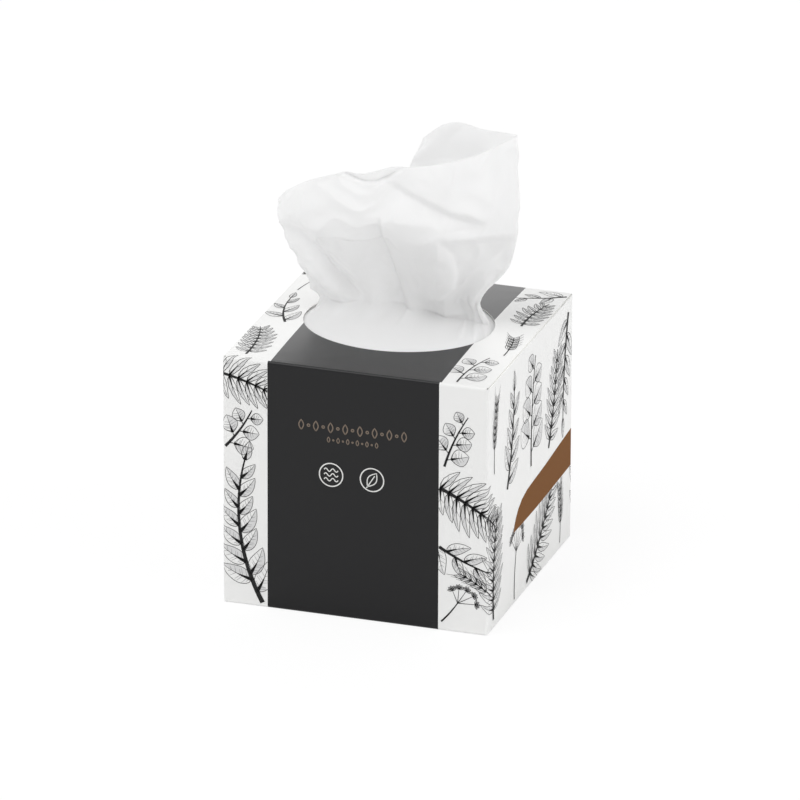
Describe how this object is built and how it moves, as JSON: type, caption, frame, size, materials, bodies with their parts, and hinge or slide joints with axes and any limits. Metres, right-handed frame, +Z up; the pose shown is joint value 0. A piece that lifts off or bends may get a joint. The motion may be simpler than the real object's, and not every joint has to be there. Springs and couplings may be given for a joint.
{
  "type": "tissue box",
  "caption": "Cube carton of facial tissues with an oval mouth in its top and a gathered sheet standing out of it.",
  "frame": {"origin": "centre of the carton's underside", "axes": "+Z up, +X along the front wall, +Y towards the back wall"},
  "size_m": [0.11, 0.11, 0.1897],
  "materials": {
    "carton": "satin coated white board, printed with a charcoal band and black line ornament",
    "pile": "soft white creped tissue, interfolded",
    "tissue": "soft white creped tissue"
  },
  "bodies": {
    "root": {"carton": "carton", "tissue_pile": "pile", "top_tissue": "tissue"}
  },
  "joints": []
}
